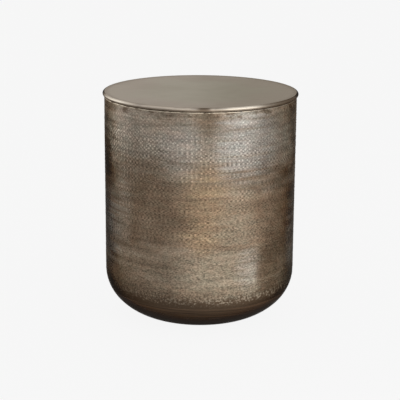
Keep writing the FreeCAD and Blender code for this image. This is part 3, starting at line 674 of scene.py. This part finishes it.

# Painted shade under the lid's rim, a faint change of hue, scratches, streaks of tone round the wall, and
# the wall darker towards its foot.
rim_shade = sums(
    wall_finish,
    "MULTIPLY",
    ease(wall_finish, height, 0.436, 0.454),
    ease(wall_finish, patches, 0.50, 0.64, 0.0, 0.75),
)
colour = blend(wall_finish, rim_shade, colour, umber)
hue = blend(wall_finish, ease(wall_finish, tarnish, 0.34, 0.66), tarnish_red, tarnish_green)
colour = blend(wall_finish, 1.0, colour, hue, "MULTIPLY")
colour = blend(wall_finish, ease(wall_finish, scratches, 0.63, 0.73, 0.0, 0.30), colour, worn_through)
tone = ease(wall_finish, streaks, 0.28, 0.72, 0.81, 1.18)
smeared = sums(wall_finish, "MULTIPLY", ease(wall_finish, smears, 0.30, 0.70, -1.0, 1.0), 0.15)
smeared = sums(wall_finish, "MULTIPLY", smeared, ease(wall_finish, height, 0.34, 0.42, 0.5, 1.0))
tone = sums(wall_finish, "ADD", tone, smeared)
tone = sums(wall_finish, "MULTIPLY", tone, ease(wall_finish, height, 0.076, 0.120, 0.62, 1.0))
colour = blend(wall_finish, 1.0, colour, tone, "MULTIPLY")

# Dots rubbed bright and moats left dark, with fine specks that grow coarser low down.
rub = ease(wall_finish, dots, -0.3, 1.0, -0.24, 0.66)
rub = sums(wall_finish, "MULTIPLY", rub, ease(wall_finish, height, 0.26, 0.37, 0.30, 1.0))
rub = sums(wall_finish, "MULTIPLY", rub, ease(wall_finish, across, 0.02, -0.11, 0.84, 1.42))
columns = node(wall_finish, "Attribute", attribute_name="column").outputs["Fac"]
woven = sums(wall_finish, "MULTIPLY", columns, ease(wall_finish, strokes, 0.30, 0.70, -0.42, 0.42))
for low, high in ((0.14, 0.22), (0.435, 0.365)):
    woven = sums(wall_finish, "MULTIPLY", woven, ease(wall_finish, height, low, high))
rub = sums(wall_finish, "ADD", rub, woven)
rub = sums(wall_finish, "ADD", rub, ease(wall_finish, specks, 0.25, 0.75, 0.79, 1.21))
grainy = ease(wall_finish, height, 0.34, 0.20, 0.10, 0.36)
speckle = sums(wall_finish, "MULTIPLY", ease(wall_finish, scuffs, 0.25, 0.75, -1.0, 1.0), grainy)
calm = own_place(wall_finish, (-0.085, -0.177, 0.207), (0.080, 0.10, 0.065))
calm = node(wall_finish, "TexGradient", {0: calm}, gradient_type="SPHERICAL").outputs[1]
speckle = sums(wall_finish, "MULTIPLY", speckle, ease(wall_finish, calm, 0.0, 0.6, 1.0, 0.45))
rub = sums(wall_finish, "ADD", rub, speckle)
sparkle = sums(
    wall_finish,
    "MULTIPLY",
    ease(wall_finish, specks, 0.54, 0.74),
    ease(wall_finish, height, 0.115, 0.080, 0.0, 0.55),
)
rub = sums(wall_finish, "ADD", rub, sparkle)
colour = blend(wall_finish, 1.0, colour, rub, "MULTIPLY")

# The foot's ragged, chipped edge against the dark base, a painted highlight along the mouth's curl, weaker
# on the right, and the bare inside.
edge = sums(wall_finish, "ADD", height, ease(wall_finish, specks, 0.3, 0.7, -6 * mm, 6 * mm))
edge = sums(wall_finish, "ADD", edge, ease(wall_finish, chips, 0.3, 0.7, -9 * mm, 9 * mm))
colour = blend(wall_finish, ease(wall_finish, edge, 0.092, 0.072), colour, pan_dark)
chipped = sums(
    wall_finish,
    "MULTIPLY",
    ease(wall_finish, chips, 0.54, 0.64),
    ease(wall_finish, across, -0.12, 0.12, 0.15, 0.55),
)
for low, high in ((0.070, 0.077), (0.092, 0.083)):
    chipped = sums(wall_finish, "MULTIPLY", chipped, ease(wall_finish, height, low, high))
colour = blend(wall_finish, chipped, colour, worn_through)
mouth_highlight_share = ease(wall_finish, grain(wall_finish, (0.012, 0.012, 0.003), 3), 0.36, 0.52)
mouth_highlight_share = sums(wall_finish, "MULTIPLY", mouth_highlight_share, ease(wall_finish, height, 0.4585, 0.4600))
mouth_highlight_share = sums(wall_finish, "MULTIPLY", mouth_highlight_share, ease(wall_finish, across, 0.14, 0.07, 0.25, 1.0))
colour = blend(wall_finish, mouth_highlight_share, colour, mouth_highlight)
inside = node(wall_finish, "Attribute", attribute_name="inside").outputs["Fac"]
inside = ease(wall_finish, inside, 0.4, 0.6)
bare = blend(wall_finish, ease(wall_finish, blotches, 0.3, 0.7), bare_dark, bare_pale)
bare = blend(wall_finish, 1.0, bare, tone, "MULTIPLY")
colour = blend(wall_finish, inside, colour, bare)
join(wall_finish, ease(wall_finish, inside, 0.0, 1.0, 0.95, 0.35), shader.inputs["Metallic"])
join(wall_finish, colour, shader.inputs["Base Color"])
shader.inputs["Specular Tint"].default_value = (*wall_edge_tint, 1)
rough = ease(wall_finish, blotches, 0.3, 0.7, 0.32, 0.48)
rough = sums(wall_finish, "ADD", rough, ease(wall_finish, dots, -0.3, 1.0, 0.04, -0.10))
join(wall_finish, rough, shader.inputs["Roughness"])
pitted = node(wall_finish, "Bump", {"Strength": 0.25, "Distance": 0.2 * mm, "Height": specks})
join(wall_finish, pitted.outputs[0], shader.inputs["Normal"])
dress(drum_wall, wall_finish, 40)
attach(drum_wall, "drum")
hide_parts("drum_wall")


# ROLLED-IN WIRES
# A ring of drawn steel wire lies in the wall's curled mouth and one in the lid's rolled edge, and
# keeps each round. Only a thread of them shows where the curl stays open. They are grey and bare.
wire_dark = (0.20, 0.19, 0.185)
wire_pale = (0.40, 0.39, 0.38)

wire_finish, shader = new_finish("drawn wire")
scale_marks = grain(wire_finish, (0.02, 0.02, 0.0008), 4, 0.6)
colour = blend(wire_finish, ease(wire_finish, scale_marks, 0.35, 0.65), wire_dark, wire_pale)
join(wire_finish, colour, shader.inputs["Base Color"])
join(wire_finish, ease(wire_finish, scale_marks, 0.3, 0.7, 0.30, 0.48), shader.inputs["Roughness"])
shader.inputs["Metallic"].default_value = 1.0
for name in ("rim_wire", "lid_wire"):
    paint(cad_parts[name], wire_finish)


# LID
# A flat disc of the same sheet, its edge rolled over, out and under round a wire, so that a rounded
# bead stands a little proud of the flat and past the wall. It is satin antique brass, faintly clouded and
# painted paler to the left as if lit from there, with dark lacquer underneath. The bead is rubbed bright
# in places and carries painted highlights and painted shade.
lid_flat_height = 469.2 * mm
bead_reach, bead_height = 196.0 * mm, 466.0 * mm
bead_degrees = 288
fillet_reach, fillet_height = 192.75 * mm, 472.2 * mm
fillet_degrees = 27.7
ring_widths = (60 * mm, 60 * mm, 60 * mm, 12.75 * mm)
lid_facets = 256
lid_satin = (0.290, 0.262, 0.219)
lid_pale = (0.405, 0.370, 0.326)
lid_green_cast = (0.980, 1.011, 0.990)
lid_pink_cast = (1.004, 0.980, 0.990)
lid_rubbed_and_lit = (0.62, 0.54, 0.44)
lid_highlight = (0.76, 0.69, 0.59)
lid_dark_brown = (0.125, 0.095, 0.070)
lid_black = (0.040, 0.034, 0.030)
under_dark = (0.060, 0.049, 0.040)
under_brown = (0.100, 0.082, 0.066)
flat_edge_tint = (0.62, 0.57, 0.50)
bead_edge_tint = (0.16, 0.14, 0.13)

lid_top = begin_outline("lid_disc", 0, lid_flat_height)
for width in ring_widths:
    draw_line(width, 0)
draw_arc(fillet_reach, fillet_height, fillet_degrees, 4)
draw_arc(bead_reach, bead_height, -bead_degrees, 36)
turn_outline(lid_facets)
give_thickness(lid_top, sheet_gauge)

lid_finish, shader = new_finish("satin antique brass")
cloud = grain(lid_finish, (0.12, 0.12, 0.12), 4)
brush = grain(lid_finish, (0.05, 0.0015, 0.01), 4, 0.6)
own = node(lid_finish, "TexCoord").outputs["Object"]
axes = node(lid_finish, "SeparateXYZ", {0: own})
flat_place = node(lid_finish, "CombineXYZ", {0: axes.outputs[0], 1: axes.outputs[1]}).outputs[0]
from_axis = node(lid_finish, "VectorMath", {0: flat_place}, operation="LENGTH").outputs["Value"]
# Paler towards the left: painted light falling from that side, mixed with faint clouds.
lit_side_and_cloud = ease(lid_finish, axes.outputs[0], 0.16, -0.10)
lit_side_and_cloud = sums(lid_finish, "ADD", lit_side_and_cloud, ease(lid_finish, cloud, 0.3, 0.7, -0.25, 0.25))
colour = blend(lid_finish, ease(lid_finish, lit_side_and_cloud, 0.0, 1.2), lid_satin, lid_pale)
cast = ease(lid_finish, from_axis, 0.07, 0.19)
cast = sums(lid_finish, "ADD", cast, ease(lid_finish, cloud, 0.3, 0.7, 0.35, -0.35))
cast = blend(lid_finish, ease(lid_finish, cast, 0.0, 1.0), lid_green_cast, lid_pink_cast)
colour = blend(lid_finish, 1.0, colour, cast, "MULTIPLY")
# Painted shade in the fillet just inside the bead.
fillet_shade = ease(lid_finish, from_axis, 0.184, 0.1935, 0.0, 0.28)
colour = blend(lid_finish, fillet_shade, colour, lid_dark_brown)
marks = grain(lid_finish, (0.035, 0.035, 0.006), 5, 0.62)
on_bead = ease(lid_finish, from_axis, 0.1955, 0.1968)
# The bead's front rubbed bright along the wear marks: partly wear and partly a painted highlight where it
# faces the light.
rubbed_and_lit = ease(lid_finish, axes.outputs[1], 0.0, -0.12, 0.2, 1.0)
rubbed_and_lit = sums(lid_finish, "MULTIPLY", on_bead, rubbed_and_lit)
worn = ease(lid_finish, marks, 0.32, 0.60, 0.10, 0.60)
colour = blend(lid_finish, sums(lid_finish, "MULTIPLY", rubbed_and_lit, worn), colour, lid_rubbed_and_lit)
# Spots on the bead, each as turn, spread, tint, share: painted highlights to the left and front right, a
# darker patch to the right, a dark spot at the front, and painted shade at both ends, where the bead turns
# away.
for turn, spread, tint, share in (
    (-60, 0.075, lid_highlight, 0.9),
    (24, 0.055, lid_highlight, 0.8),
    (56, 0.085, lid_dark_brown, 0.9),
    (2, 0.020, lid_dark_brown, 1.0),
    (-96, 0.085, lid_black, 1.0),
    (90, 0.095, lid_black, 1.0),
):
    angle = math.radians(turn)
    place = (bead_reach * math.sin(angle), -bead_reach * math.cos(angle), bead_height)
    share = sums(lid_finish, "MULTIPLY", on_bead, share)
    colour = tint_spot(lid_finish, colour, tint, share, place, (spread, spread, spread), 1.0)
# Painted shade on the bead's underside, in the gap above the wall's mouth.
bead_gap_shade = ease(lid_finish, axes.outputs[2], 0.4668, 0.4654, 0.0, 0.85)
colour = blend(lid_finish, bead_gap_shade, colour, lid_dark_brown)
lacquer = blend(lid_finish, ease(lid_finish, marks, 0.3, 0.7), under_dark, under_brown)
backside = ease(lid_finish, axes.outputs[2], 0.4689, 0.4683)
backside = sums(lid_finish, "MULTIPLY", backside, ease(lid_finish, from_axis, 0.1925, 0.1905))
colour = blend(lid_finish, backside, colour, lacquer)
join(lid_finish, colour, shader.inputs["Base Color"])
shader.inputs["Metallic"].default_value = 0.95
gloss = blend(lid_finish, on_bead, flat_edge_tint, bead_edge_tint)
join(lid_finish, gloss, shader.inputs["Specular Tint"])
join(lid_finish, ease(lid_finish, brush, 0.25, 0.75, 0.36, 0.46), shader.inputs["Roughness"])
satin = node(lid_finish, "Bump", {"Strength": 0.06, "Distance": 0.1 * mm, "Height": brush})
join(lid_finish, satin.outputs[0], shader.inputs["Normal"])
dress(lid_top, lid_finish)
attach(lid_top, "lid")
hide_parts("lid_top")


# COLLAR AND BARS UNDER THE LID
# A hoop of sheet on edge drops into the drum's mouth and keeps the lid in place, and two flat bars,
# halved over each other, keep the disc flat. All are welded on and brushed with dark lacquer.
lacquer_dark = (0.040, 0.032, 0.026)
lacquer_brown = (0.078, 0.062, 0.050)
lacquer_thin = (0.13, 0.085, 0.055)

lacquer_finish, shader = new_finish("dark lacquered steel")
brush_marks = grain(lacquer_finish, (0.03, 0.03, 0.003), 5, 0.6)
runs = grain(lacquer_finish, (0.015, 0.015, 0.015), 4)
brushed_on = ease(lacquer_finish, brush_marks, 0.3, 0.7)
colour = blend(lacquer_finish, brushed_on, lacquer_dark, lacquer_brown)
colour = blend(lacquer_finish, ease(lacquer_finish, runs, 0.62, 0.75), colour, lacquer_thin)
join(lacquer_finish, colour, shader.inputs["Base Color"])
rough = ease(lacquer_finish, brush_marks, 0.3, 0.7, 0.38, 0.58)
join(lacquer_finish, rough, shader.inputs["Roughness"])
shader.inputs["Metallic"].default_value = 0.25
ridges = {"Strength": 0.2, "Distance": 0.2 * mm, "Height": brush_marks}
painted = node(lacquer_finish, "Bump", ridges)
join(lacquer_finish, painted.outputs[0], shader.inputs["Normal"])
for name in ("lid_collar", "lid_brace_across", "lid_brace_deep"):
    paint(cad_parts[name], lacquer_finish)


# WELD TACKS
# Short rippled beads of weld in the corners under the lid: twelve between collar and disc, one on each
# side of every bar's end, and one along each side near it. They are lacquered with what they hold.
tack_half_length = 7.0 * mm
tack_radius = 1.7 * mm
tack_offset = 1.1 * mm
ripple_shares = (0, 0.55, 0.90, 0.72, 1, 0.75, 0.98, 0.74, 1, 0.72, 0.95, 0.70, 0.85, 0.5, 0)
collar_tacks = 12
bar_ends = 4
collar_bore = 186.2 * mm
bar_half = 2.0 * mm
bar_middle_height = 461 * mm
bar_tack_reach = 150 * mm
lid_under_height = 468.0 * mm

tack_places = []
collar_tack_reach = collar_bore - tack_offset
tack_height = lid_under_height - tack_offset
for number in range(collar_tacks):
    angle = math.tau * (number + 0.5) / collar_tacks
    place = (collar_tack_reach * math.cos(angle), collar_tack_reach * math.sin(angle), tack_height)
    tack_places.append((place, (0, 0, angle + math.pi / 2)))
for number in range(bar_ends):
    angle = math.tau * number / bar_ends
    for side in (-1, 1):
        off_bar = side * (bar_half + tack_offset)
        for out, up, lean in (
            (bar_tack_reach, tack_height, 0),
            (collar_tack_reach, bar_middle_height, math.pi / 2),
        ):
            place = (
                out * math.cos(angle) - off_bar * math.sin(angle),
                out * math.sin(angle) + off_bar * math.cos(angle),
                up,
            )
            tack_places.append((place, (0, lean, angle)))

tack_step = 2 * tack_half_length / (len(ripple_shares) - 1)
tack = begin_outline("weld_tacks", -tack_half_length, 0)
for before, after in zip(ripple_shares, ripple_shares[1:]):
    draw_line(tack_step, (after - before) * tack_radius)
turn_outline(12, axis=(1, 0, 0))
tacks = [tack]
for _ in tack_places[1:]:
    tacks.append(copy_of(tack))
bpy.ops.object.select_all(action="DESELECT")
for tack_copy, (place, turn) in zip(tacks, tack_places):
    tack_copy.location = place
    tack_copy.rotation_euler = turn
    tack_copy.select_set(True)
bpy.context.view_layer.objects.active = tack
bpy.ops.object.transform_apply(location=True, rotation=True, scale=True)
bpy.ops.object.join()
dress(tack, lacquer_finish, 60)
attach(tack, "lid")


# STUDIO
# A plain pale floor that runs out of sight, one large softbox to the right of the camera, a weaker one
# to the left, and a folded light card in front, which only shows as a soft gleam on the metal.
floor_white = (0.97, 0.97, 0.97)
floor_radius = 30
floor_glow = 0.974
floor_glow_share = 0.95
card_turn = math.radians(30)
card_white = (1, 0.98, 0.95)
card_glow = 1.87
card_middle = -0.56
card_width, card_depth, card_height = 0.8, 0.66, 0.9
card_flare = 1.6
world_light, world_seen = 0.55, 0.95
view_distance = 2.753
view_height = math.radians(14.62)
view_roll = math.radians(0.40)
view_centre = 0.235
view_lens, view_sensor = 118.6, 36
picture_size = 400
shift_right, shift_up = 0.22, 1.63

bpy.ops.object.select_all(action="DESELECT")
bpy.ops.mesh.primitive_circle_add(vertices=96, radius=floor_radius, fill_type="NGON")
floor = bpy.context.object
floor.name = "floor"
floor_finish, shader = new_finish("pale floor")
shader.inputs["Base Color"].default_value = (*floor_white, 1)
shader.inputs["Roughness"].default_value = 1.0
shader.inputs["Specular IOR Level"].default_value = 0.0
glow = node(floor_finish, "Emission", {"Color": floor_white, "Strength": floor_glow})
ray = node(floor_finish, "LightPath")
seen = sums(floor_finish, "ADD", ray.outputs["Is Camera Ray"], ray.outputs["Is Glossy Ray"])
seen = sums(floor_finish, "ADD", seen, ray.outputs["Is Transmission Ray"])
seen = sums(floor_finish, "MULTIPLY", seen, floor_glow_share)
lit = node(floor_finish, "MixShader", {0: seen, 1: shader.outputs[0], 2: glow.outputs[0]})
clear = node(floor_finish, "BsdfTransparent")
underside = node(floor_finish, "NewGeometry").outputs["Backfacing"]
shown = node(floor_finish, "MixShader", {0: underside, 1: lit.outputs[0], 2: clear.outputs[0]})
output = floor_finish.node_tree.nodes["Material Output"]
join(floor_finish, shown.outputs[0], output.inputs["Surface"])
floor.data.materials.append(floor_finish)

card_finish, shader = new_finish("light card")
shader.inputs["Base Color"].default_value = (0, 0, 0, 1)
shader.inputs["Emission Color"].default_value = (*card_white, 1)
shader.inputs["Emission Strength"].default_value = card_glow
bpy.ops.object.select_all(action="DESELECT")
bpy.ops.mesh.primitive_plane_add(size=1, location=(0, card_middle, 1 * mm))
card = bpy.context.object
card.name = "light_card"
card.scale = (card_width, card_depth, 1)
bpy.ops.object.transform_apply(location=True, rotation=True, scale=True)
pick_no_points()
for point in card.data.vertices:
    point.select = point.co.y < card_middle
bpy.ops.object.mode_set(mode="EDIT")
bpy.ops.mesh.extrude_region_move(TRANSFORM_OT_translate={"value": (0, 0, card_height)})
bpy.ops.object.mode_set(mode="OBJECT")
for point in card.data.vertices:
    if point.co.y < card_middle:
        point.co.x *= card_flare
card.rotation_euler = (0, 0, card_turn)
card.data.materials.append(card_finish)
card.visible_camera = False
card.visible_diffuse = False
card.visible_shadow = False

world = bpy.data.worlds.new("studio")
bpy.context.scene.world = world
world.use_nodes = True
backdrop = world.node_tree.nodes["Background"]
backdrop.inputs["Color"].default_value = (*floor_white, 1)
ray = node(world, "LightPath")
seen = sums(world, "ADD", ray.outputs["Is Camera Ray"], ray.outputs["Is Glossy Ray"])
seen = sums(world, "ADD", seen, ray.outputs["Is Transmission Ray"])
join(world, ease(world, seen, 0.0, 1.0, world_light, world_seen), backdrop.inputs["Strength"])

for name, degrees, distance, up, wide, tall, watts in (
    ("softbox_right", 38, 1.7, 0.75, 1.5, 1.5, 9.5),
    ("softbox_left", -112, 1.7, 0.75, 0.5, 1.5, 2.5),
):
    angle = math.radians(degrees)
    place = (distance * math.sin(angle), -distance * math.cos(angle), up)
    bpy.ops.object.light_add(type="AREA", location=place)
    softbox = bpy.context.object
    softbox.name = name
    softbox.data.shape = "RECTANGLE"
    softbox.data.size = wide
    softbox.data.size_y = tall
    softbox.data.energy = watts
    softbox.rotation_euler = (math.pi / 2, 0, angle)

bpy.ops.object.camera_add(
    location=(
        0,
        -view_distance * math.cos(view_height),
        view_centre + view_distance * math.sin(view_height),
    )
)
camera = bpy.context.object
camera.rotation_mode = "ZXY"
camera.rotation_euler = (math.pi / 2 - view_height, 0, view_roll)
camera.data.lens = view_lens
camera.data.sensor_width = view_sensor
camera.data.shift_x = shift_right / picture_size
camera.data.shift_y = shift_up / picture_size
bpy.context.scene.camera = camera
bpy.context.scene.view_settings.view_transform = "Standard"

bpy.context.view_layer.update()
